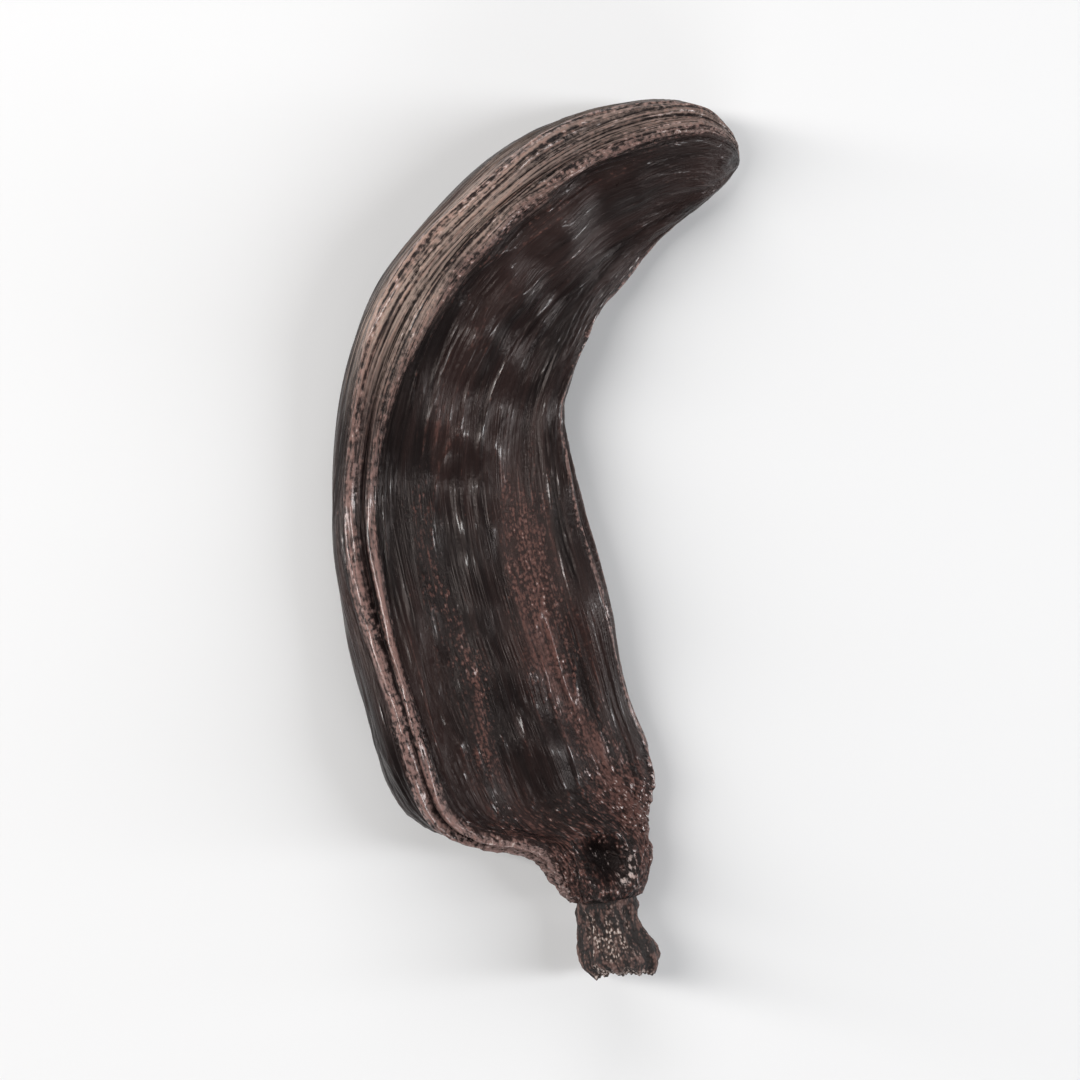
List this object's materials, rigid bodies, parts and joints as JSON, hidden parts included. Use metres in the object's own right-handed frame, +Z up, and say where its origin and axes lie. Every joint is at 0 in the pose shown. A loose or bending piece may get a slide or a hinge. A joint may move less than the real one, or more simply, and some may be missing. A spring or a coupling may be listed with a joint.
{
  "type": "carob pod",
  "caption": "Ripe carob pod, dark and leathery, hooked towards its tip, with thick ridged seams and a torn stub of stalk, lying on its side.",
  "frame": {"origin": "middle of the whole part's bounding box on plan, at the level of the surface it lies on", "axes": "+Y from the stalk towards the tip, +X towards the hollow side of the bend, +Z up through the pod's thickness"},
  "size_m": [0.0482, 0.1028, 0.0148],
  "materials": {
    "pod_skin": "near-black brown dried skin with a dull, uneven gloss",
    "stalk_wood": "rough, dry brown bark, paler where it is torn"
  },
  "bodies": {
    "root": {"pod": "pod_skin", "stalk": "stalk_wood"}
  },
  "joints": []
}
